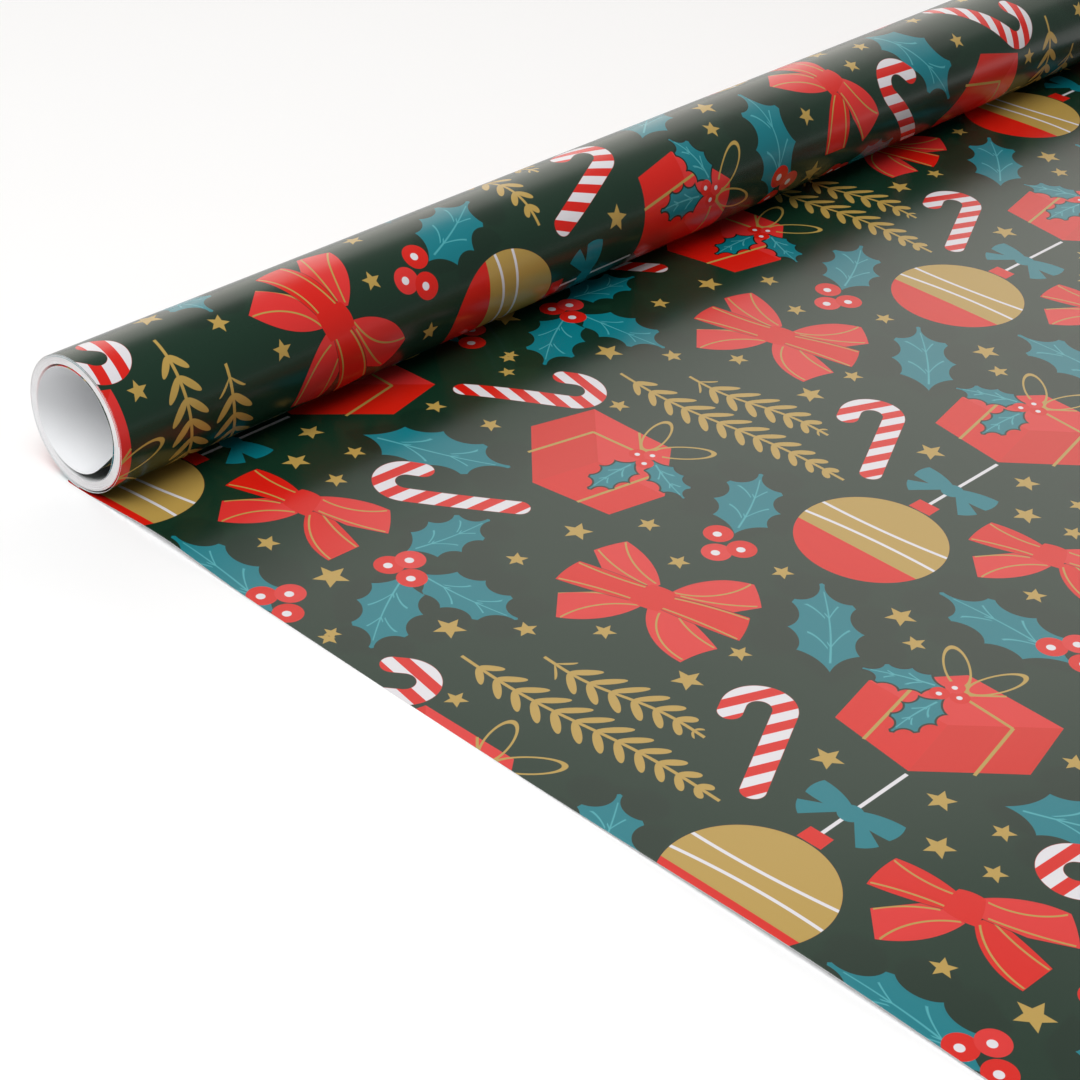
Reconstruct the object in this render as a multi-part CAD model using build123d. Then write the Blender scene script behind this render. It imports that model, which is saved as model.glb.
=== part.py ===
from build123d import *
import math
import os

# A roll of gift wrapping paper, lying on the first half metre of its own paper.
# It is one continuous web with no core: the laid sheet runs back under the roll,
# folds over in a small soft bend, and goes on as the roll's outermost wrap.
# Millimetres. +X runs along the roll, +Z is up, and the sheet is drawn out towards -Y.
# The origin is on the table, under the middle of the roll's axis.

# Driving dimensions
web_width = 700.0           # width of the paper, which is the roll's length
roll_radius = 28.0          # outside of the outermost wrap
unrolled_length = 500.0     # from under the roll's axis to the sheet's free edge
ply = 0.3                   # wall of one modelled turn of paper
pack_wall = 3.75            # all the tight turns together
wrap_gap = 0.05             # air between the tight turns and the outermost wrap
loose_gap = 0.5             # air between the tight turns and the loose turn inside them
tail_seat = 0.1             # air where the innermost end rests against the loose turn
tail_lift = 3.6             # how far the innermost end springs away from the loose turn
tail_start = 8.0            # where the innermost end leaves the loose turn, degrees below the back
tail_sweep = 164.0          # how far round the bottom it then runs, degrees
tail_peak = 2.8             # over 1 moves the highest lift towards the free tip
fold_radius = 1.2           # middle line of the soft bend behind the roll
fold_gap = 0.15             # air between the fold's two layers under the roll's axis
running_gap = 0.25          # air between the turning roll and the fold
seam_setback = 4.0          # how far behind the axis the sheet ends and the fold begins

# Sizes that follow from them
layer_radius = roll_radius + running_gap + ply / 2
axis_height = ply + fold_gap + ply + running_gap + roll_radius
pack_outer = roll_radius - ply - wrap_gap
pack_bore = pack_outer - pack_wall
loose_outer = pack_bore - loose_gap
loose_bore = loose_outer - ply


def across_the_web(profile):
    """A profile drawn in Y and Z, run over the full width of the paper."""
    return extrude(Plane.YZ * profile, amount=web_width / 2, both=True)


def turn_of_paper(outer, inner):
    """A closed turn round the roll's axis."""
    ring = Circle(outer) - Circle(inner)
    return across_the_web(Pos(0, axis_height) * ring)


def unrolled_sheet():
    """The paper drawn out over the table, as far as its free edge."""
    length = unrolled_length + seam_setback
    middle = seam_setback - length / 2
    return across_the_web(Pos(middle, ply / 2) * Rectangle(length, ply))


def tucked_fold():
    """The bend that turns the sheet over and lays it against the underside of the roll."""
    bend_height = ply / 2 + fold_radius
    drop = axis_height - bend_height
    bend_back = math.sqrt((layer_radius + fold_radius) ** 2 - drop**2)
    layer_angle = math.degrees(math.atan2(bend_back, drop))
    lower = Line((seam_setback, ply / 2), (bend_back, ply / 2))
    bend = CenterArc((bend_back, bend_height), fold_radius, -90, 180 + layer_angle)
    upper = CenterArc((0, axis_height), layer_radius, -90, layer_angle)
    strip = trace(lower, ply) + trace(bend, ply) + trace(upper, ply)
    return across_the_web(strip)


def tail_point(share):
    """A point on the innermost end's middle line, from where it leaves (0) to its tip (1)."""
    angle = math.radians(-tail_start - tail_sweep * share)
    lift = tail_lift * math.sin(math.pi * share**tail_peak)
    radius = loose_bore - tail_seat - ply / 2 - lift
    return (radius * math.cos(angle), axis_height + radius * math.sin(angle))


def inner_tail():
    """The first few centimetres that were wound, sprung flat across the bottom of the bore."""
    steps = 16
    middle_line = Spline([tail_point(step / steps) for step in range(steps + 1)])
    return across_the_web(trace(middle_line, ply))


os.makedirs("parts", exist_ok=True)
export_step(unrolled_sheet(), "parts/unrolled_sheet.step")
export_step(tucked_fold(), "parts/tucked_fold.step")
export_step(turn_of_paper(roll_radius, roll_radius - ply), "parts/outer_wrap.step")
export_step(turn_of_paper(pack_outer, pack_bore), "parts/wound_pack.step")
export_step(turn_of_paper(loose_outer, loose_bore), "parts/loose_turn.step")
export_step(inner_tail(), "parts/inner_tail.step")
print("axis height", axis_height, "pack bore", pack_bore, "loose bore", loose_bore)
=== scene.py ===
import math

import bmesh
import bpy
from mathutils import Matrix, Vector


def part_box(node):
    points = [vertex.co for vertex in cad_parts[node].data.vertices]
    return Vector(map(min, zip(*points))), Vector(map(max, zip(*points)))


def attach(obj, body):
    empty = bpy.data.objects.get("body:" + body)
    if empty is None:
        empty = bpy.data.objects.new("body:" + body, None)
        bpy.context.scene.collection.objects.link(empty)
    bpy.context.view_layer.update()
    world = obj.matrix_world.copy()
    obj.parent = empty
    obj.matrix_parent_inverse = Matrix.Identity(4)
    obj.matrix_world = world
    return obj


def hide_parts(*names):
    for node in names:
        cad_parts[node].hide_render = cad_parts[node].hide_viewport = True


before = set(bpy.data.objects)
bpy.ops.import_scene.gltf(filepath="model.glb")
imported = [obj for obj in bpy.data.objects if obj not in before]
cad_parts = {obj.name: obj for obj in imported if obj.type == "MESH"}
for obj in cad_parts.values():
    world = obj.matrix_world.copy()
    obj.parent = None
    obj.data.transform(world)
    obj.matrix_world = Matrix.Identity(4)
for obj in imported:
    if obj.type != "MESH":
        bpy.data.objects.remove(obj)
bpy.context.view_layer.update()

MM = 0.001

# ---------------------------------------------------------------- sizes from the frame
wrap_low, wrap_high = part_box("outer_wrap")
sheet_low, sheet_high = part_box("unrolled_sheet")
fold_low, fold_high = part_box("tucked_fold")
HALF_WEB = wrap_high.x
WEB_MM = 2 * HALF_WEB / MM
ROLL_R = (wrap_high.z - wrap_low.z) / 2
AXIS_Z = (wrap_high.z + wrap_low.z) / 2
loose_low, loose_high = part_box("loose_turn")
LOOSE_R = (loose_high.z - loose_low.z) / 2
CAD_PLY = sheet_high.z - sheet_low.z
SEAM_Y = sheet_high.y
SHEET_REACH = -sheet_low.y

PAPER = 0.12 * MM           # thickness of the visible paper
RESTING = PAPER / 2 + 0.02 * MM     # height of the paper's middle where it lies on the floor
FOLD_GAP = 0.25 * MM        # air between the roll and the fold under it
LOOSE_GAP = 0.5 * MM        # air between the tight turns and the loose one
PACK_BORE = LOOSE_R + LOOSE_GAP
INNER_START = PACK_BORE - 0.2 * MM  # where the innermost end runs into the loose turn
HIDDEN_WEB = 2.0 * ROLL_R   # web between the sheet's zero line and the roll's lowest line

# The innermost end: where it leaves the loose turn and how it springs away, as in the CAD.
TAIL_START = math.radians(-8)
TAIL_SWEEP = math.radians(164)
TAIL_LIFT = 3.6 * MM
TAIL_PEAK = 2.8


# ---------------------------------------------------------------- shader maths
class Value:
    """A number socket. Python's operators on it add Math nodes."""

    def __init__(self, inks, socket):
        self.inks = inks
        self.socket = socket

    def math(self, operation, *others, clamp=False):
        sockets = dict(enumerate((self, *others)))
        made = self.inks.node("ShaderNodeMath", sockets, operation=operation, use_clamp=clamp)
        return Value(self.inks, made.outputs[0])

    def __add__(self, other):
        return self.math("ADD", other)

    __radd__ = __add__

    def __sub__(self, other):
        return self.math("SUBTRACT", other)

    def __rsub__(self, other):
        return self.math("MULTIPLY_ADD", -1.0, other)

    def __mul__(self, other):
        return self.math("MULTIPLY", other)

    __rmul__ = __mul__

    def __truediv__(self, other):
        return self.math("DIVIDE", other)

    def __abs__(self):
        return self.math("ABSOLUTE")

    def low(self, other):
        return self.math("MINIMUM", other)

    def high(self, other):
        return self.math("MAXIMUM", other)

    def below(self, other):
        return self.math("LESS_THAN", other)


class Inks:
    """Builds one material's nodes."""

    def __init__(self, name):
        self.material = bpy.data.materials.new(name)
        self.material.use_nodes = True
        self.tree = self.material.node_tree
        self.tree.nodes.clear()

    def node(self, kind, sockets=None, **settings):
        made = self.tree.nodes.new(kind)
        for key, value in settings.items():
            setattr(made, key, value)
        for key, value in (sockets or {}).items():
            if isinstance(value, Value):
                value = value.socket
            if isinstance(value, bpy.types.NodeSocket):
                self.tree.links.new(value, made.inputs[key])
            else:
                made.inputs[key].default_value = value
        return made

    def dot(self, vector, weights):
        made = self.node("ShaderNodeVectorMath", {0: vector, 1: weights}, operation="DOT_PRODUCT")
        return Value(self, made.outputs["Value"])

    def distance(self, vector, point):
        made = self.node("ShaderNodeVectorMath", {0: vector, 1: point}, operation="DISTANCE")
        return Value(self, made.outputs["Value"])

    def length(self, vector):
        made = self.node("ShaderNodeVectorMath", {0: vector}, operation="LENGTH")
        return Value(self, made.outputs["Value"])

    def vector(self, operation, *vectors):
        made = self.node("ShaderNodeVectorMath", dict(enumerate(vectors)), operation=operation)
        return made.outputs["Vector"]

    def combine(self, x, y, z):
        return self.node("ShaderNodeCombineXYZ", {0: x, 1: y, 2: z}).outputs[0]

    def mix(self, share, under, over):
        """A colour that goes from under to over as share goes from 0 to 1."""
        made = self.node(
            "ShaderNodeMix", {"Factor": share, 6: under, 7: over},
            data_type="RGBA", clamp_factor=True,
        )
        return made.outputs[2]

    def choose(self, share, first, second):
        """The first vector where share is 0, the second where it is 1."""
        made = self.node(
            "ShaderNodeMix", {"Factor": share, 4: first, 5: second}, data_type="VECTOR"
        )
        return made.outputs[1]

    def noise(self, vector, scale, detail=2.0, roughness=0.5):
        made = self.node(
            "ShaderNodeTexNoise",
            {"Vector": vector, "Scale": scale, "Detail": detail, "Roughness": roughness},
        )
        return Value(self, made.outputs["Fac"])

    def finish(self, colour, roughness, bump=None, bump_distance=0.1 * MM, strength=0.5):
        """The material, with a relief where bump is given."""
        sockets = {"Base Color": colour, "Roughness": roughness, "IOR": 1.5}
        if bump is not None:
            relief = self.node(
                "ShaderNodeBump", {"Height": bump, "Distance": bump_distance, "Strength": strength}
            )
            sockets["Normal"] = relief.outputs[0]
        shader = self.node("ShaderNodeBsdfPrincipled", sockets)
        self.node("ShaderNodeOutputMaterial", {"Surface": shader.outputs[0]})
        return self.material


# ---------------------------------------------------------------- the printed pattern
# All in millimetres of flat paper: x along the roll from its near end, y out from the roll.
REPEAT_X = 190.9            # from one repeat to the next along the roll
REPEAT_Y = 313.1            # from one repeat to the next along the web
STEP_Y = -98.6              # how far the next repeat along the roll is shifted
EDGE = 0.16                 # softness of a printed edge

GREEN = (0.0055, 0.028, 0.014, 1)
SHADOW = (0.0030, 0.016, 0.008, 1)
RED = (0.64, 0.010, 0.004, 1)
DEEP_RED = (0.60, 0.012, 0.004, 1)
PINK_RED = (0.67, 0.027, 0.024, 1)
GOLD = (0.45, 0.295, 0.070, 1)
TEAL = (0.002, 0.180, 0.218, 1)
PALE_TEAL = (0.075, 0.39, 0.43, 1)
WHITE = (0.71, 0.69, 0.72, 1)

PAINT_WINDOWS = ((76.0, 153.0), (219.0, 216.0), (130.0, 64.0))


def fold_in(point, centre):
    """The copy of a point of the pattern that lies nearest to a window's centre."""
    x, y = point[0] - centre[0], point[1] - centre[1]
    across = round(x / REPEAT_X)
    x -= across * REPEAT_X
    y -= across * STEP_Y
    # the window's limits lean with the repeat
    y -= round((y - STEP_Y * x / REPEAT_X) / REPEAT_Y) * REPEAT_Y
    return x, y


def room(point):
    """How far a folded point is from its window's limits."""
    x, y = point
    along = abs(y - STEP_Y * x / REPEAT_X)
    return min(REPEAT_X / 2 - abs(x), REPEAT_Y / 2 - along)


class Press:
    """Prints motifs one over another."""

    def __init__(self, inks, web):
        self.inks = inks
        self.colour = GREEN
        self.windows = [self.window(web, centre) for centre in PAINT_WINDOWS]

    def window(self, web, centre):
        """Millimetres from the nearest copy of centre, with 1 in the third place."""
        inks = self.inks
        lean = -STEP_Y / REPEAT_X
        middle = (centre[0] / REPEAT_X, (centre[1] + centre[0] * lean) / REPEAT_Y, 0)
        across = inks.dot(web, (1 / REPEAT_X, 0, -middle[0]))
        along = inks.dot(web, (lean / REPEAT_Y, 1 / REPEAT_Y, -middle[1]))
        across = across.math("WRAP", 0.5, -0.5)
        along = along.math("WRAP", 0.5, -0.5)
        y = along * REPEAT_Y + across * STEP_Y
        return inks.combine(across * REPEAT_X, y, 1.0)

    def place(self, x, y, turn=0.0, mirror=1):
        """A motif's own place in the window where it has most room."""
        folded = [fold_in((x, y), centre) for centre in PAINT_WINDOWS]
        best = max(range(len(folded)), key=lambda i: room(folded[i]))
        return Place(self, self.windows[best], folded[best], turn, mirror)

    def cover(self, distance, soft=EDGE):
        """1 inside a shape, 0 outside it."""
        return distance.math("MULTIPLY_ADD", -1 / soft, 0.5, clamp=True)

    def ink(self, share, colour):
        self.colour = self.inks.mix(share, self.colour, colour)


def ease_bulge(p, q, bulge, spots):
    """Flattens the rounded side p to q until its whole circle takes in every other corner."""
    middle = Vector(((p[0] + q[0]) / 2, (p[1] + q[1]) / 2))
    chord = Vector(q) - Vector(p)
    across = Vector((chord.y, -chord.x)).normalized()
    if (sum((Vector(s) for s in spots), Vector((0, 0))) / len(spots) - middle).dot(across) > 0:
        across = -across
    while bulge > 0.02:
        radius = (chord.length_squared / 4 + bulge * bulge) / (2 * bulge)
        centre = middle + across * (bulge - radius)
        if all((Vector(s) - centre).length <= radius + 0.01 for s in spots):
            return bulge
        bulge *= 0.85
    return min(bulge, 0.0)


class Place:
    """A spot in the pattern, with its own axes. Distances come out in millimetres."""

    def __init__(self, press, vector, origin, turn, mirror):
        self.press = press
        self.inks = press.inks
        self.vector = vector
        self.origin = origin
        self.turn = math.radians(turn)
        self.mirror = mirror

    def at(self, x, y):
        """A spot of this place in its window's millimetres."""
        y *= self.mirror
        c, s = math.cos(self.turn), math.sin(self.turn)
        return (self.origin[0] + c * x - s * y, self.origin[1] + s * x + c * y)

    def turned(self, x, y, turn):
        """Another place, at a spot of this one and turned further."""
        whole = math.degrees(self.turn) + turn * self.mirror
        return Place(self.press, self.vector, self.at(x, y), whole, self.mirror)

    def from_point(self, x, y):
        """How far off a spot of this place is."""
        px, py = self.at(x, y)
        return self.inks.distance(self.vector, (px, py, 1))

    def side(self, p, q, inside, bulge=0.0):
        """How far outside the side p to q a point is. A bulge over 0 rounds the side outwards."""
        (px, py), (qx, qy), (ix, iy) = p, q, inside
        chord = math.hypot(qx - px, qy - py)
        nx, ny = (qy - py) / chord, -(qx - px) / chord
        if (ix - px) * nx + (iy - py) * ny > 0:
            nx, ny = -nx, -ny
        if not bulge:
            return self.inks.dot(self.vector, (nx, ny, -(nx * px + ny * py)))
        radius = (chord * chord / 4 + bulge * bulge) / (2 * abs(bulge))
        shift = bulge - math.copysign(radius, bulge)
        centre = ((px + qx) / 2 + nx * shift, (py + qy) / 2 + ny * shift, 1)
        away = self.inks.distance(self.vector, centre)
        return away - radius if bulge > 0 else radius - away

    def shape(self, *corners):
        """A convex outline. A corner's third number bulges the side after it."""
        spots = [self.at(c[0], c[1]) for c in corners]
        inside = [sum(s[i] for s in spots) / len(spots) for i in (0, 1)]
        worst = None
        for i, corner in enumerate(corners):
            p, q = spots[i], spots[(i + 1) % len(spots)]
            bulge = ease_bulge(p, q, corner[2] if len(corner) > 2 else 0.0, spots)
            side = self.side(p, q, inside, bulge)
            worst = side if worst is None else worst.high(side)
        return worst

    def line(self, p, q, width, bulge=0.0):
        """A line from p to q, rounded to one side by bulge."""
        p, q = self.at(*p), self.at(*q)
        (px, py), (qx, qy) = p, q
        chord = math.hypot(qx - px, qy - py)
        ux, uy = (qx - px) / chord, (qy - py) / chord
        beside = (px - uy * 10, py + ux * 10)
        across = abs(self.side(p, q, beside, bulge * self.mirror))
        middle = ((px + qx) / 2, (py + qy) / 2)
        along = self.inks.dot(self.vector, (ux, uy, -(ux * middle[0] + uy * middle[1])))
        return (across - width / 2).high(abs(along) - chord / 2)

    def local(self, across=1.0, along=1.0):
        """The place's own x and y as one vector, each divided by a length, with 1 third."""
        c, s = math.cos(self.turn), math.sin(self.turn)
        ox, oy = self.origin
        x = self.inks.dot(self.vector, (c / across, s / across, -(c * ox + s * oy) / across))
        k = along * self.mirror
        y = self.inks.dot(self.vector, (-s / k, c / k, (s * ox - c * oy) / k))
        return self.inks.combine(x, y, 1.0)


def nearest(inks, spots):
    """Of several local vectors, the shortest one."""
    best, reach = spots[0], inks.length(spots[0])
    for spot in spots[1:]:
        length = inks.length(spot)
        closer = length.below(reach)
        best = inks.choose(closer, best, spot)
        reach = reach.low(length)
    return best


def print_stars(press):
    """Five-pointed gold stars: x, y and the size of each."""
    stars = (
        (93, 29, 5.6), (73, 43, 5.9), (95, 53, 4.6), (76, 63, 4.6), (28, 78, 4.8), (32, 109, 7.2),
        (5.5, 137, 4.2), (42, 161, 6.4), (92, 146, 4.5), (123, 148, 6.1), (147, 163, 4.6),
        (62, 180, 4.7), (14, 193, 4.6), (136, 188, 4.6), (82, 200, 4.6), (160, 219, 4.6),
        (82, 240, 6.2), (108, 242, 4.6), (170, 267, 6.2), (160, 281, 4.7), (83, 302, 6.2),
        (144, 48, 4.8), (152, 72, 4.6), (187, 47, 3.9), (199, 37, 3.8),
    )
    inks = press.inks
    spots = []
    for x, y, size in stars:
        place = press.place(x, y)
        ox, oy = place.origin
        spots.append(inks.vector("SUBTRACT", place.vector, (ox, oy, 1 - size)))
    best = nearest(inks, spots)
    parts = inks.node("ShaderNodeSeparateXYZ", {0: best})
    x, y, size = (Value(inks, parts.outputs[i]) for i in range(3))
    tip, waist = 1.0, 0.45
    half = math.radians(36)
    nx, ny = waist * math.sin(half), tip - waist * math.cos(half)
    scale = math.hypot(nx, ny)
    nx, ny = nx / scale, ny / scale
    radius = (x * x + y * y).math("SQRT")
    angle = (y.math("ARCTAN2", x) + size * 7.7).math("PINGPONG", half)
    edge = radius * (angle.math("COSINE") * nx + angle.math("SINE") * ny) - size * (tip * nx)
    press.ink(press.cover(edge), GOLD)


LEAF_LONG = 3.3             # a leaf's length in half widths
LEAF_BITES = ((-0.47, 1.09, 1.17), (0.98, 1.33, 0.64), (2.04, 1.26, 0.62), (3.20, 0.66, 0.60))


def leaf_marks(press, leaf, half_width, halo):
    """Prints the nearest holly leaf: x runs 0 to 1 from stalk to tip, y is 1 at full width.

    It has a soft round shade about it with halo, and a thin dark outline without."""
    inks = press.inks
    parts = inks.node("ShaderNodeSeparateXYZ", {0: leaf})
    x, y = (Value(inks, parts.outputs[i]) for i in (0, 1))
    away = abs(y)
    # in half widths: a full belly with a round bite between each tooth and the next
    spot = inks.combine(x * LEAF_LONG + y * 0.08, away, 0.0)
    belly = inks.distance(spot, (1.45, -1.2, 0)) - 2.25
    outside = belly
    for bx, by, radius in LEAF_BITES:
        outside = outside.high(radius - inks.distance(spot, (bx, by, 0)))
    if halo:
        rounds = None
        for bx, by, radius in LEAF_BITES[1:] + ((3.35, 0.0, 0.3),):
            near = inks.distance(spot, (bx, by, 0)) - radius * 0.96
            rounds = near if rounds is None else rounds.low(near)
        rounds = rounds.low(belly) * half_width
        press.ink(press.cover(rounds, 1.0) * 0.45, SHADOW)
    outside = outside * half_width
    if not halo:
        press.ink(press.cover(outside - 0.8), SHADOW)
    press.ink(press.cover(outside), TEAL)
    # a bent middle vein, and side veins that leave it towards the tip and curve outwards
    bend = (x * 3.1).math("SINE") * 0.11
    aside = abs(y - bend)
    spine = (aside * half_width - 0.42 + x * 0.25).high(abs(x - 0.5) * 40 - 16.5)
    swept = x * 3.0 - aside * 1.9 + aside * aside * 1.3 + y.below(0.0) * 0.18
    rib = abs((swept - 0.30).math("FRACT") - 0.5) * (half_width * 0.8) - 0.34
    rib = rib.high((aside - 0.58) * half_width).high((0.14 - x) * 30).high(outside + 2.4)
    veins = spine.low(rib)
    press.ink(press.cover(veins, 0.3) * 0.9, PALE_TEAL)


def leaf_at(press, base, tip, half_width):
    """The local vector of one holly leaf, from its stalk to its tip."""
    dx, dy = tip[0] - base[0], tip[1] - base[1]
    place = press.place((base[0] + tip[0]) / 2, (base[1] + tip[1]) / 2,
                        turn=math.degrees(math.atan2(dy, dx)))
    length = math.hypot(dx, dy)
    shifted = place.local(length, half_width)
    return press.inks.vector("ADD", shifted, (0.5, 0, 0))


def nearest_leaf(inks, leaves):
    """The leaf whose middle is nearest, counted in its own length and width."""
    best, reach = None, None
    for leaf in leaves:
        length = inks.distance(leaf, (0.5, 0, 1))
        if best is None:
            best, reach = leaf, length
            continue
        closer = length.below(reach)
        best = inks.choose(closer, best, leaf)
        reach = reach.low(length)
    return best


def print_leaves(press):
    """The seven loose holly leaves: stalk, tip and half width."""
    leaves = (
        ((65, 115), (103, 120), 12.4),
        ((53, 126), (13, 151), 13.4),
        ((58, 129), (64, 173), 13.0),
        ((107, 46), (136, 98), 15.0),
        ((123.5, 270.7), (164.7, 234.2), 14.6),
        ((167.3, 189.3), (207.7, 168.7), 14.4),
        ((192.1, 326.5), (193.9, 268), 14.6),
    )
    found = nearest_leaf(press.inks, [leaf_at(press, *leaf) for leaf in leaves])
    leaf_marks(press, found, 14.0, halo=True)


def print_berries(press, place, spots, radius):
    """Red berries with a white dot each."""
    for i, (x, y) in enumerate(spots):
        press.ink(press.cover(place.from_point(x, y) - radius), PINK_RED if i == 1 else RED)
    dots = None
    for x, y in spots:
        dot = place.from_point(x - radius * 0.1, y)
        dots = dot if dots is None else dots.low(dot)
    press.ink(press.cover(dots - radius * 0.3), WHITE)


def print_berry_groups(press):
    """The three groups of berries by the loose leaves."""
    for middle, spots in (
        ((56.3, 122.1), ((-3, -4.8), (5.4, -2.1), (-2.5, 7))),
        ((158.2, 192.3), ((4, -7), (-6.4, 1), (2.4, 6.2))),
        ((7.6, 108.4), ((-2.9, -6.7), (5.9, -1.1), (-2.9, 7.6))),
    ):
        print_berries(press, press.place(*middle), spots, 5.9)


def cane_at(press, foot, knee, hook_side):
    """Local x and y of a cane: y runs up its straight part from its foot, x towards its hook."""
    dx, dy = knee[0] - foot[0], knee[1] - foot[1]
    length = math.hypot(dx, dy)
    turn = math.degrees(math.atan2(dy, dx)) - 90 * hook_side
    place = press.place(foot[0] + dx / 2, foot[1] + dy / 2, turn=turn, mirror=hook_side)
    return press.inks.vector("ADD", place.local(), (0, length / 2, 0))


def print_canes(press):
    """Striped candy canes: foot, the start of the hook, and the side it hooks to."""
    canes = (
        ((51, 296), (93.5, 275.5), 1),
        ((118, 121.5), (90, 86), -1),
        ((163, 45.5), (189, 77.5), 1),
    )
    straight, hook, half_width, period = 45.0, 9.2, 4.6, 12.6
    inks = press.inks
    found = None
    for cane in canes:
        local = cane_at(press, *cane)
        length = inks.distance(local, (hook, straight * 0.6, 1))
        if found is None:
            found, reach = local, length
            continue
        closer = length.below(reach)
        found = inks.choose(closer, found, local)
        reach = reach.low(length)
    parts = inks.node("ShaderNodeSeparateXYZ", {0: found})
    x, y = (Value(inks, parts.outputs[i]) for i in (0, 1))
    in_hook = 1 - y.below(straight)
    from_middle = x - hook
    above = y - straight
    radius = (from_middle * from_middle + above * above).math("SQRT")
    foot = y.low(0.0)
    shaft = (x * x + foot * foot).math("SQRT")
    beyond = x - 2 * hook
    short = (above + 5.0).low(0.0)
    end = (beyond * beyond + short * short).math("SQRT")
    bend = abs(radius - hook)
    away = shaft.low(end) * (1 - in_hook) + bend * in_hook
    stripe = (abs(((y + x * 0.9) / period).math("FRACT") - 0.5) - 0.25) * period
    press.ink(press.cover(away - half_width), RED)
    press.ink(press.cover((away - (half_width - 0.1)).high(stripe)), WHITE)


def print_present(press, place):
    """A six-sided parcel seen from a corner, tied with gold and a pair of loops."""
    for colour, corners in (
        (PINK_RED, ((-0.8, -35.6), (29.4, -28.5), (30.5, 12.9), (1.6, 35.1), (-24.6, 29.6),
                    (-30.2, -6.2))),
        (DEEP_RED, ((-30.2, -6.2), (-0.8, -35.6), (29.4, -28.5), (0.8, 0.2))),
        (RED, ((-30.2, -6.2), (0.8, 0.2), (1.6, 35.1), (-24.6, 29.6))),
    ):
        press.ink(press.cover(place.shape(*corners)), colour)
    ribbon = place.line((-15.5, -23), (16.2, -16.6), 1.3)
    ribbon = ribbon.low(place.line((16, -16.6), (18.4, 8), 1.3))
    ribbon = ribbon.low(place.line((-27.2, 15.2), (10, 22), 1.3))
    ribbon = ribbon.low(place.line((17, 9), (30, -4), 1.0))
    press.ink(press.cover(ribbon), GOLD)
    for x, y, turn in ((33.2, 2.6, -20), (31.5, 18.6, 44)):
        loop = press.inks.length(place.turned(x, y, turn).local(12.4, 4.6))
        # the third place of the local vector adds 1 to the square
        loop = abs((loop * loop - 1.0).high(0.0).math("SQRT") - 1.0) * 5.6 - 0.5
        press.ink(press.cover(loop), GOLD)


def print_presents(press):
    """Two parcels, one the other's mirror image, with their holly."""
    upright = press.place(165.4, 118.4)
    flipped = press.place(127.9, 318.8, mirror=-1)
    for place in (upright, flipped):
        print_present(press, place)
    inks = press.inks
    leaves = []
    for cx, cy, flip in ((165.4, 118.4, 1), (127.9, 318.8, -1)):
        for (bx, by), (tx, ty) in (((11.5, 10.5), (-16, 11.5)), ((17.5, 15), (6, 41))):
            base, tip = (cx + bx, cy + flip * by), (cx + tx, cy + flip * ty)
            leaves.append(leaf_at(press, base, tip, 7.6))
    leaf_marks(press, nearest_leaf(inks, leaves), 7.6, halo=False)
    for place in (upright, flipped):
        print_berries(press, place, ((17.2, 6.8), (21, 11.6), (14, 13.4)), 3.7)


def print_lobe(press, place, corners, lines, colour):
    """One loop or tail of a ribbon bow with its gold lines."""
    lobe = place.shape(*corners)
    inside = press.cover(lobe)
    press.ink(press.cover(lobe - 0.4) * 0.6, SHADOW)
    press.ink(inside, colour)
    gold = None
    for p, q, bulge in lines:
        line = place.line(p, q, 0.75, bulge)
        gold = line if gold is None else gold.low(line)
    press.ink(press.cover(gold) * inside, GOLD)


def print_big_bow(press):
    """The bow with six loops and tails, and its knot last."""
    place = press.place(110.1, 198.6)
    print_lobe(press, place,
               ((-34.5, -16.7), (-22.6, -27), (-3, -11), (-6.5, -0.5, 4.0)),
               (((-33.4, -15.6), (-6.6, -1.6), 3.9), ((-22.6, -27), (-7, -9.5), 1.6)), PINK_RED)
    print_lobe(press, place,
               ((8, -37.5, 0.5), (21.9, -33.1, 2.8), (9.4, -5.0), (0, -6), (1.2, -27)),
               (((21.0, -33.1), (8.8, -6.6), -2.6), ((9.5, -36.5), (5.6, -8.4), -1.8)), PINK_RED)
    print_lobe(press, place,
               ((-16.7, -33.9, 0.8), (-1.4, -35.9, 0.6), (5.4, -6), (-6, -5, 0.6)),
               (((-15.6, -33.4), (-5.2, -6), 0.8), ((-2.4, -35.4), (4.4, -7), -0.8)), RED)
    print_lobe(press, place,
               ((-5.4, 2, 2.6), (-19.9, 19, 1.0), (-22.0, 32.6, -0.8), (-6.0, 36.2, 0.5), (0.6, 16),
                (2, 3)),
               (((-20.2, 31.9), (-4.5, 7), 4.4), ((-6.3, 34.9), (-1.6, 14), 1.4)), PINK_RED)
    print_lobe(press, place,
               ((8.4, 1.2, 2.6), (29.8, 9.5, 0.8), (35.5, 18.6, 0.4), (25.9, 30.2), (15.0, 24.6),
                (4.0, 3.5)),
               (((9.4, 2.2), (34.8, 17.6), -4.6), ((9.4, 5), (25.4, 28.6), -1.6)), PINK_RED)
    print_lobe(press, place,
               ((-2.6, 4), (7.3, 4, 0.6), (17.6, 31.6, 0.6), (3.7, 38.2, 0.6)),
               (((6.6, 4.6), (16.6, 31.8), 0.8), ((-1.6, 5), (4, 37), 0.6)), RED)
    knot = place.shape((-6.9, -6.2, 0.8), (7, -7.4, 0.8), (9.2, 3, 0.8), (-4.3, 5.9, 0.8))
    press.ink(press.cover(knot), RED)


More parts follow.
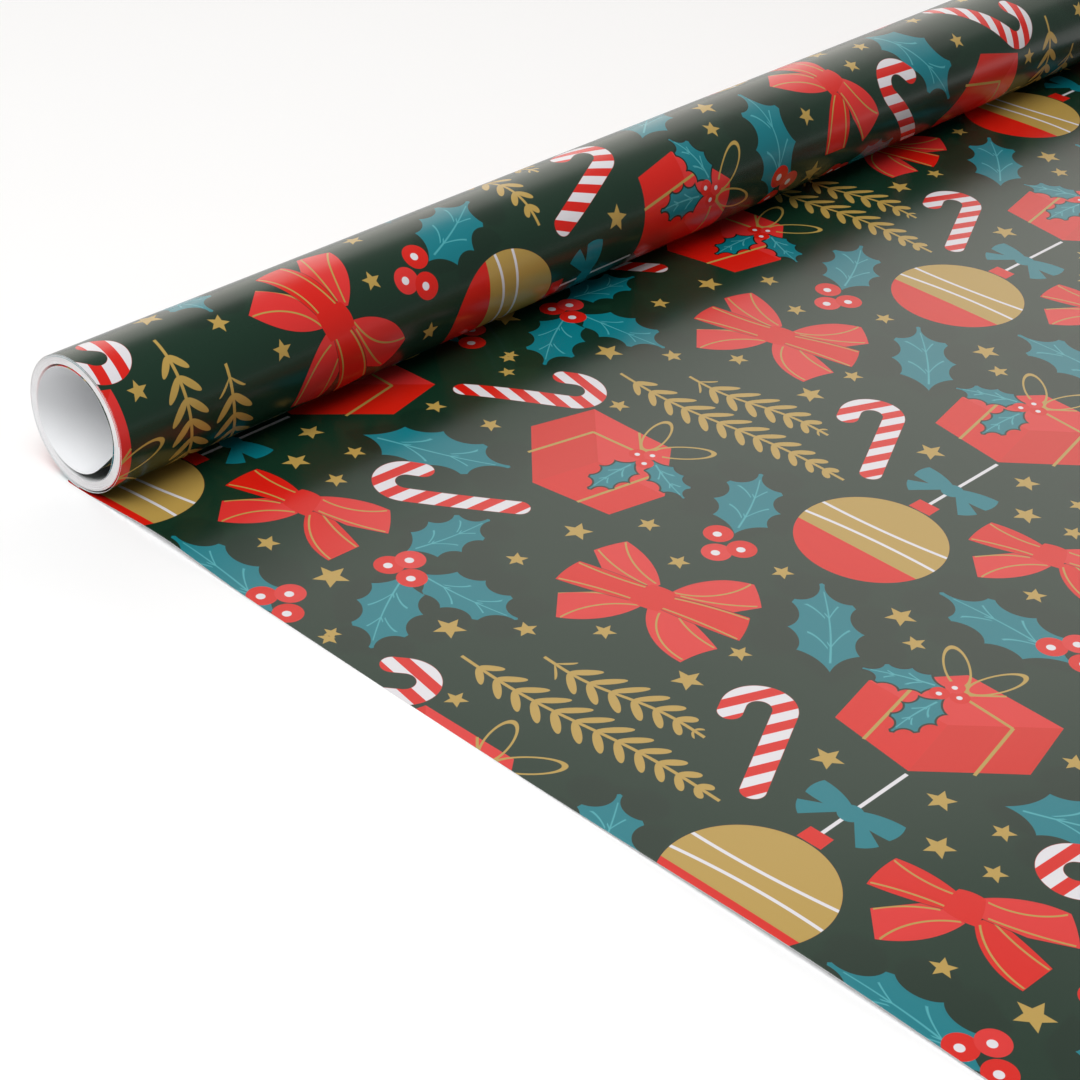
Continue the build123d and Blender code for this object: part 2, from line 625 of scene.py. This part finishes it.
def print_small_bow(press):
    """The bow with four loops and tails, and its knot last."""
    place = press.place(56.0, 66.2)
    print_lobe(press, place,
               ((-33.7, -10.2), (-23.4, -20), (-4, -7), (-6.5, 4.4, 3.6)),
               (((-32.6, -9.2), (-7, 3.2), 3.5), ((-23, -19.2), (-7.4, -4.6), 1.4)), PINK_RED)
    print_lobe(press, place,
               ((-15, -28, 0.8), (2.1, -29.3, 1.6), (3.2, -4.5), (-5.9, -3.8, 0.8)),
               (((-13.6, -27.6), (-4.8, -4.4), 0.8), ((0.8, -29), (2.2, -5.4), -1.6)), RED)
    print_lobe(press, place,
               ((-3.6, 6, 2.6), (-16.8, 24, 0.5), (-17.8, 34.3), (-2.7, 34.8, 0.5), (2.6, 9)),
               (((-16.6, 34), (-3.6, 8), 3.0), ((-3.8, 34.4), (0.8, 10), 1.0)), RED)
    print_lobe(press, place,
               ((6.8, 0.8, 2.2), (20.4, 17, 0.8), (22.7, 24.5, 0.5), (11.4, 35.6), (3.0, 21.5),
                (-0.8, 6)),
               (((7, 3.6), (21.6, 24), -3.0), ((0.8, 8), (11.4, 34), -0.8)), PINK_RED)
    knot = place.shape((-6.7, -4.1, 0.8), (5.2, -6.5, 0.8), (7.6, 2.2, 0.8), (-5.1, 7.8, 0.8))
    press.ink(press.cover(knot), RED)


def print_bauble(press):
    """A banded ball on a white string with a teal bow. Its x runs from the ball's middle."""
    shift, ball_radius = 28.4, 30.0
    place = press.place(232.0, 227.2)
    left = press.place(203.6, 227.2)
    ball = left.from_point(0, 0) - ball_radius
    inside = press.cover(ball)
    press.ink(inside, RED)
    below = left.side(left.at(-9.2, -30), left.at(-9.2, 30), left.at(0, 0))
    press.ink(press.cover(ball.high(below)), GOLD)
    band = left.line((-3.6, -32), (0.2, 32), 1.4, 1.6)
    bands = band.low(left.line((7, -32), (12, 32), 1.4, -1.6))
    press.ink(press.cover(bands) * inside, WHITE)
    near, far = 30.6 - shift, 37.7 - shift
    cap = place.shape((near, -5), (far, -4.8), (far, 4.8), (near, 5))
    press.ink(press.cover(cap), RED)
    string = place.line((far, 0), (83.2 - shift, 0), 1.5)
    press.ink(press.cover(string), WHITE)
    bow = None
    for flip in (1, -1):
        tail = place.shape(*((x - shift, y * flip, b) for x, y, b in
                             ((53, 1, 0), (39.8, 12, 0.6), (45.8, 17, 0), (54.6, 2, 0))))
        loop = place.shape(*((x - shift, y * flip, b) for x, y, b in
                             ((50.6, 17.5, 1.0), (60.2, 17.0, 1.2), (55.4, 1, 0), (50.9, 1, 0.6))))
        both = tail.low(loop)
        bow = both if bow is None else bow.low(both)
    bow = bow.low(place.from_point(52.6 - shift, 0) - 4.6)
    press.ink(press.cover(bow), TEAL)


def sprig_at(press, x, y, turn, length):
    """Local x and y of a sprig about its middle, with half its length third."""
    place = press.place(x, y, turn=turn)
    inks = press.inks
    return inks.vector("ADD", place.local(), (0, 0, length - 1))


def print_sprigs(press):
    """Two gold sprigs of small paired leaves, side by side along the web."""
    inks = press.inks
    spots = [sprig_at(press, 36.0, 234.0, 87, 58.0), sprig_at(press, 58.0, 231.0, 84, 35.0)]
    reach = [inks.dot(spot, (0, 1, 0)) for spot in spots]
    closer = abs(reach[1]).below(abs(reach[0]))
    best = inks.choose(closer, spots[0], spots[1])
    parts = inks.node("ShaderNodeSeparateXYZ", {0: best})
    x, y, half = (Value(inks, parts.outputs[i]) for i in range(3))
    share = x / half
    y = y + (share * 3.4).math("SINE") * 1.6
    away = abs(y)
    pitch, longest = 8.8, 9.6
    spread = (1 - share * share).high(0.0).math("SQRT") * longest
    along = ((x - away * 0.9) / pitch).math("FRACT") - 0.5
    across = (away / spread.high(0.5)).low(1.0)
    fat = (across * (1 - across)).math("SQRT") * 4.6
    leaf = (abs(along) * pitch - fat) * 0.75
    leaf = leaf.high(away - spread).high(abs(x - away * 0.9) - half + 5.0)
    stem = (away - 0.7).high(abs(x) - half)
    press.ink(press.cover(leaf.low(stem)), GOLD)


def printed_paper():
    """The glossy printed face: every motif, laid over the green ground."""
    inks = Inks("printed_paper")
    coords = inks.node("ShaderNodeUVMap", uv_map="web")
    web = inks.vector("ADD", coords.outputs[0], (0, 0, 1))
    press = Press(inks, web)
    print_leaves(press)
    print_stars(press)
    print_sprigs(press)
    print_canes(press)
    print_small_bow(press)
    print_big_bow(press)
    print_bauble(press)
    print_presents(press)
    print_berry_groups(press)
    fibre = inks.noise(web, 0.9, 3.0, 0.6)
    slack = inks.noise(web, 0.012, 1.0)
    relief = fibre * 0.005 + slack * 1.2
    return inks.finish(press.colour, fibre * 0.04 + 0.24, bump=relief, bump_distance=0.25 * MM)


def white_back():
    """The uncoated back: off white, with faint fibre."""
    inks = Inks("white_back")
    coords = inks.node("ShaderNodeUVMap", uv_map="web")
    fibre = inks.noise(coords.outputs[0], 1.4, 4.0, 0.65)
    cloud = inks.noise(coords.outputs[0], 0.05, 2.0)
    colour = inks.mix(fibre * 0.5 + cloud * 0.5, (0.84, 0.85, 0.865, 1), (0.91, 0.915, 0.925, 1))
    rough = fibre * 0.2 + 0.45
    return inks.finish(colour, rough, bump=fibre, bump_distance=0.06 * MM, strength=0.6)


TURN_PITCH = 0.17           # millimetres from one wound turn to the next, as the end shows them


def turn_edges():
    """The cut ends of the tight turns: white paper, each turn with a fine dark line where it meets
    the next, partly its printed face's edge and partly painted shade in the gap between turns.
    """
    inks = Inks("turn_edges")
    coords = inks.node("ShaderNodeTexCoord")
    point = inks.vector("SUBTRACT", coords.outputs["Object"], (0, 0, AXIS_Z))
    parts = inks.node("ShaderNodeSeparateXYZ", {0: point})
    x, y, z = (Value(inks, parts.outputs[i]) for i in range(3))
    radius = (y * y + z * z).math("SQRT") / MM
    turns = z.math("ARCTAN2", y) / (2 * math.pi)
    phase = (radius / TURN_PITCH - turns).math("FRACT")
    # the dark line where one turn meets the next: partly the printed face's edge, partly painted
    # shade in the groove between turns
    line = (abs(phase - 0.5) * 2).math("MULTIPLY_ADD", 4.0, -2.9, clamp=True)
    tint = inks.noise(point, 60.0, 2.0)
    fibre = inks.noise(point, 900.0, 2.0)
    paper = inks.mix(tint, (0.81, 0.775, 0.785, 1), (0.87, 0.875, 0.87, 1))
    colour = inks.mix(line * (fibre * 0.5 + 0.12), paper, (0.42, 0.38, 0.39, 1))
    relief = phase * (1 - phase) * 4 + fibre * 0.5
    return inks.finish(colour, fibre * 0.2 + 0.55, bump=relief, bump_distance=0.08 * MM)


def cut_edge():
    """The single cut edge of a sheet: white core under the ink."""
    inks = Inks("cut_edge")
    coords = inks.node("ShaderNodeTexCoord")
    fibre = inks.noise(coords.outputs["Object"], 1200.0, 2.0)
    colour = inks.mix(fibre, (0.66, 0.65, 0.65, 1), (0.80, 0.80, 0.80, 1))
    return inks.finish(colour, fibre * 0.2 + 0.55)


PRINT = printed_paper()
BACK = white_back()
EDGES = turn_edges()
CUT = cut_edge()


# ---------------------------------------------------------------- paper
def bent_paper(name, far, near, place_of, steps, columns, body, stands_for,
               printed_from=0.0):
    """Flat paper from web distance far to near, bent so that place_of(x, s) says where it lies.

    Distances are metres of flat paper. The printed face keeps its web coordinates as a UV map,
    and printed_from shifts the print along the web."""
    bm = bmesh.new()
    bmesh.ops.create_grid(bm, x_segments=columns, y_segments=steps, size=0.5)
    web = bm.loops.layers.uv.new("web")
    for face in bm.faces:
        face.smooth = True
        for loop in face.loops:
            x, y, _ = loop.vert.co
            along_web = printed_from + far + (near - far) * (y + 0.5)
            loop[web].uv = ((x + 0.5) * WEB_MM, along_web / MM)
    for side in bm.edges:
        side.smooth = not side.is_boundary
    for vert in bm.verts:
        x, y, _ = vert.co
        along = x * 2 * HALF_WEB
        vert.co = place_of(along, far + (near - far) * (y + 0.5))
    mesh = bpy.data.meshes.new(name)
    bm.to_mesh(mesh)
    bm.free()
    for material in (PRINT, BACK, CUT):
        mesh.materials.append(material)
    piece = bpy.data.objects.new(name, mesh)
    bpy.context.scene.collection.objects.link(piece)
    wall = piece.modifiers.new("wall", "SOLIDIFY")
    wall.thickness = PAPER
    wall.offset = 0
    wall.material_offset = 1
    wall.material_offset_rim = 2
    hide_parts(*stands_for)
    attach(piece, body)
    return piece


def ease(t):
    """0 up to t = 0 and 1 from t = 1, with a smooth step between."""
    t = min(max(t, 0.0), 1.0)
    return t * t * (3 - 2 * t)


def on_roll(x, radius, angle):
    """A point about the roll's axis. Angle 0 looks along +Y, and 90 degrees up."""
    return Vector((x, radius * math.cos(angle), AXIS_Z + radius * math.sin(angle)))


def sheet_place(x, s):
    """The drawn-out sheet: flat on the table, lifted in two shallow waves."""
    from_near = (x + HALF_WEB) / (2 * HALF_WEB)
    first = 3.0 * math.exp(-(((s / MM - 50) / 32) ** 2)) * (1 - 0.55 * ease(from_near * 1.6))
    second = 2.0 * math.exp(-(((s / MM - 366 + 60 * from_near) / 70) ** 2)) * (1 - 0.5 * from_near)
    ripple = 0.5 * (1 + math.sin(from_near * 9 + s / MM / 40)) * ease((s / MM - 60) / 80)
    lift = (first + second + 0.6 * ripple) * MM * ease((s / MM + 2) / 18)
    return Vector((x, -s, RESTING + lift))


def fold_line():
    """The fold as runs of (length, point at a share of it): back over the table, round, forward."""
    tighter = 0.6 * MM      # than the CAD's bend
    bend_radius = (fold_high.z - fold_low.z) / 2 - CAD_PLY / 2 - tighter
    layer_radius = ROLL_R + FOLD_GAP + CAD_PLY / 2
    bend_height = RESTING + bend_radius
    drop = AXIS_Z - bend_height
    bend_back = math.sqrt((layer_radius + bend_radius) ** 2 - drop**2)
    layer_angle = math.atan2(bend_back, drop)
    bend_sweep = math.pi + layer_angle
    return (
        (bend_back - SEAM_Y, lambda t: (SEAM_Y + (bend_back - SEAM_Y) * t, RESTING)),
        (bend_radius * bend_sweep, lambda t: (
            bend_back + bend_radius * math.cos(-math.pi / 2 + bend_sweep * t),
            bend_height + bend_radius * math.sin(-math.pi / 2 + bend_sweep * t))),
        (layer_radius * layer_angle, lambda t: (
            layer_radius * math.sin(layer_angle * (1 - t)),
            AXIS_Z - layer_radius * math.cos(layer_angle * (1 - t)))),
    )


FOLD_RUNS = fold_line()
FOLD_LENGTH = sum(run[0] for run in FOLD_RUNS)


def fold_place(x, s):
    """The fold: along its three runs, one after another."""
    left = -SEAM_Y - s
    for length, point in FOLD_RUNS:
        if left <= length or point is FOLD_RUNS[-1][1]:
            y, z = point(min(left / length, 1.0))
            return Vector((x, y, z))
        left -= length


def wrap_place(x, s):
    """The outermost turn: from the roll's lowest line up the front, over and round once."""
    turned = (-HIDDEN_WEB - s) / ROLL_R
    creep = 0.2 * MM        # how far one turn winds inwards
    radius = ROLL_R - PAPER / 2 - creep * turned / (2 * math.pi)
    return on_roll(x, radius, math.radians(270) - turned)


def inner_place(x, s):
    """The innermost web: its free end sprung flat across the bottom of the bore, then one
    loosened turn, clear of the tight ones over the top and down the front."""
    angle = TAIL_START + s / LOOSE_R
    degrees = math.degrees(angle)
    clear = 0.5 * ease((degrees + 8) / 40) * (1 - ease((degrees - 200) / 60))
    dents = sum(depth * math.exp(-(((degrees - middle) / spread) ** 2))
                for depth, middle, spread in ((0.45, 146, 14), (0.5, 190, 16)))
    share = max(-s, 0.0) / TAIL_LENGTH
    lift = 0.75 * MM * ease(share / 0.5) + TAIL_LIFT * math.sin(math.pi * share**TAIL_PEAK)
    return on_roll(x, INNER_START - (clear + dents) * MM - lift, angle)


# Lengths of flat paper: a little over one turn outside, and the loosened turn inside.
WRAP_LENGTH = 2.06 * math.pi * ROLL_R
INNER_LENGTH = math.radians(281) * LOOSE_R
TAIL_LENGTH = TAIL_SWEEP * LOOSE_R
sheet = bent_paper("drawn_out_sheet", SHEET_REACH, -SEAM_Y, sheet_place, 170, 60, "laid_sheet",
                   ["unrolled_sheet"])
fold = bent_paper("folded_web", -SEAM_Y, -SEAM_Y - FOLD_LENGTH, fold_place, 60, 8, "laid_sheet",
                  ["tucked_fold"])
wrap = bent_paper("outermost_turn", -HIDDEN_WEB, -HIDDEN_WEB - WRAP_LENGTH, wrap_place, 240, 8,
                  "roll", ["outer_wrap"])
inner = bent_paper("inner_turns", INNER_LENGTH, -TAIL_LENGTH, inner_place, 340, 8,
                   "roll", ["loose_turn", "inner_tail"], printed_from=189 * MM)


def tight_turns():
    """The pack of tight turns: a thick tube whose ends step in and out by a hair."""
    offsets = (0.0, 0.12, 0.05, 0.2, 0.1, 0.28, 0.12, 0.05, 0.22, 0.3, 0.1, 0.0, 0.16, 0.05, 0.12)
    steps = len(offsets)
    outer = ROLL_R - 0.62 * MM      # leaves room for the outermost turn
    wall = outer - PACK_BORE
    lean = Vector((0, 0.30, 0.12)) * MM     # wound a little off centre
    outside_print, inside_back = 1, 2       # material slots, after the edges' own
    bm = bmesh.new()
    verts = []
    for end in (-1, 1):
        ring = []
        for i in range(steps):
            for edge in (0.08, 0.92):
                radius = PACK_BORE + wall * (i + edge) / steps
                ring.append((end * (HALF_WEB - offsets[i] * MM), radius))
        verts += ring if end < 0 else ring[::-1]
    sides = 192
    rings = []
    for i in range(sides):
        turn = 2 * math.pi * i / sides
        rings.append([bm.verts.new((x, -r * math.sin(turn), AXIS_Z + r * math.cos(turn)))
                      for x, r in verts])
    for ring, after in zip(rings, rings[1:] + rings[:1]):
        for i in range(len(verts)):
            bm.faces.new((ring[i - 1], ring[i], after[i], after[i - 1]))
    bmesh.ops.recalc_face_normals(bm, faces=bm.faces)
    bmesh.ops.translate(bm, verts=bm.verts, vec=lean)
    web = bm.loops.layers.uv.new("web")
    for face in bm.faces:
        face.smooth = abs(face.normal.x) < 0.5
        middle = face.calc_center_median()
        from_axis = Vector((0, middle.y, middle.z - AXIS_Z))
        if not face.smooth:
            continue
        if from_axis.dot(face.normal) < 0:
            face.material_index = inside_back
        elif from_axis.length > outer - 1.0 * MM:
            face.material_index = outside_print
        start = math.atan2(from_axis.z, from_axis.y) % (2 * math.pi)
        for loop in face.loops:
            angle = math.atan2(loop.vert.co.z - AXIS_Z, loop.vert.co.y)
            angle = start + (angle - start + math.pi) % (2 * math.pi) - math.pi
            along_web = (angle * outer - HIDDEN_WEB) / MM - 330
            loop[web].uv = ((loop.vert.co.x + HALF_WEB) / MM, along_web)
    mesh = bpy.data.meshes.new("tight_turns")
    bm.to_mesh(mesh)
    bm.free()
    for material in (EDGES, PRINT, BACK):
        mesh.materials.append(material)
    piece = bpy.data.objects.new("tight_turns", mesh)
    bpy.context.scene.collection.objects.link(piece)
    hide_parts("wound_pack")
    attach(piece, "roll")


tight_turns()


# ---------------------------------------------------------------- floor, light and camera
def floor_material():
    inks = Inks("pale_floor")
    coords = inks.node("ShaderNodeTexCoord")
    grain = inks.noise(coords.outputs["Object"], 6.0, 2.0)
    colour = inks.mix(grain, (0.94, 0.94, 0.94, 1), (0.96, 0.96, 0.96, 1))
    return inks.finish(colour, grain * 0.1 + 0.6)


def pale_floor():
    bm = bmesh.new()
    bmesh.ops.create_grid(bm, x_segments=1, y_segments=1, size=6.0)
    mesh = bpy.data.meshes.new("floor")
    bm.to_mesh(mesh)
    bm.free()
    mesh.materials.append(floor_material())
    floor = bpy.data.objects.new("floor", mesh)
    bpy.context.scene.collection.objects.link(floor)


def soft_box(name, place, target, width, height, power, colour=(1, 1, 1)):
    """A rectangular area light at place that faces target. Power is in watts."""
    light = bpy.data.lights.new(name, "AREA")
    light.shape = "RECTANGLE"
    light.size = width
    light.size_y = height
    light.energy = power
    light.color = colour
    lamp = bpy.data.objects.new(name, light)
    lamp.location = place
    lamp.rotation_euler = (Vector(target) - Vector(place)).to_track_quat("-Z", "Y").to_euler()
    bpy.context.scene.collection.objects.link(lamp)


def studio():
    world = bpy.data.worlds.new("studio")
    world.use_nodes = True
    sky = world.node_tree.nodes["Background"].inputs
    sky["Color"].default_value = (1, 1, 1, 1)
    sky["Strength"].default_value = 0.23
    bpy.context.scene.world = world
    # a long soft wall of light beyond the roll and its far end, and a soft key over its near end
    soft_box("wall", (3.0, 1.7, 1.63), (0, 0, 1.63), 7.0, 3.2, 97, (1.0, 0.94, 0.88))
    soft_box("key", (-1.35, -0.4, 2.35), (0, -0.1, 0), 2.0, 2.0, 66)


def camera():
    """Looks along the roll from its near left end, down over the sheet.

    The eye is placed from the middle of the roll's near end at floor level, in roll radii."""
    azimuth, elevation, tilt = math.radians(47.99), math.radians(33.31), math.radians(-3.66)
    level = math.cos(elevation)
    ahead = Vector((math.sin(azimuth) * level, math.cos(azimuth) * level, -math.sin(elevation)))
    across = ahead.cross(Vector((0, 0, 1))).normalized()
    down = ahead.cross(across)
    right = across * math.cos(tilt) + down * math.sin(tilt)
    below = down * math.cos(tilt) - across * math.sin(tilt)
    made = bpy.data.cameras.new("camera")
    made.lens = 85.1
    made.sensor_width = 36
    eye = bpy.data.objects.new("camera", made)
    turn = Matrix((right, -below, -ahead)).transposed()
    spot = Vector((-HALF_WEB, 0, 0)) + Vector((-17.640, -24.460, 18.984)) * ROLL_R
    spot.z += 0.0009
    eye.matrix_world = Matrix.Translation(spot) @ turn.to_4x4()
    bpy.context.scene.collection.objects.link(eye)
    bpy.context.scene.camera = eye


pale_floor()
studio()
camera()
bpy.context.scene.view_settings.view_transform = "Standard"
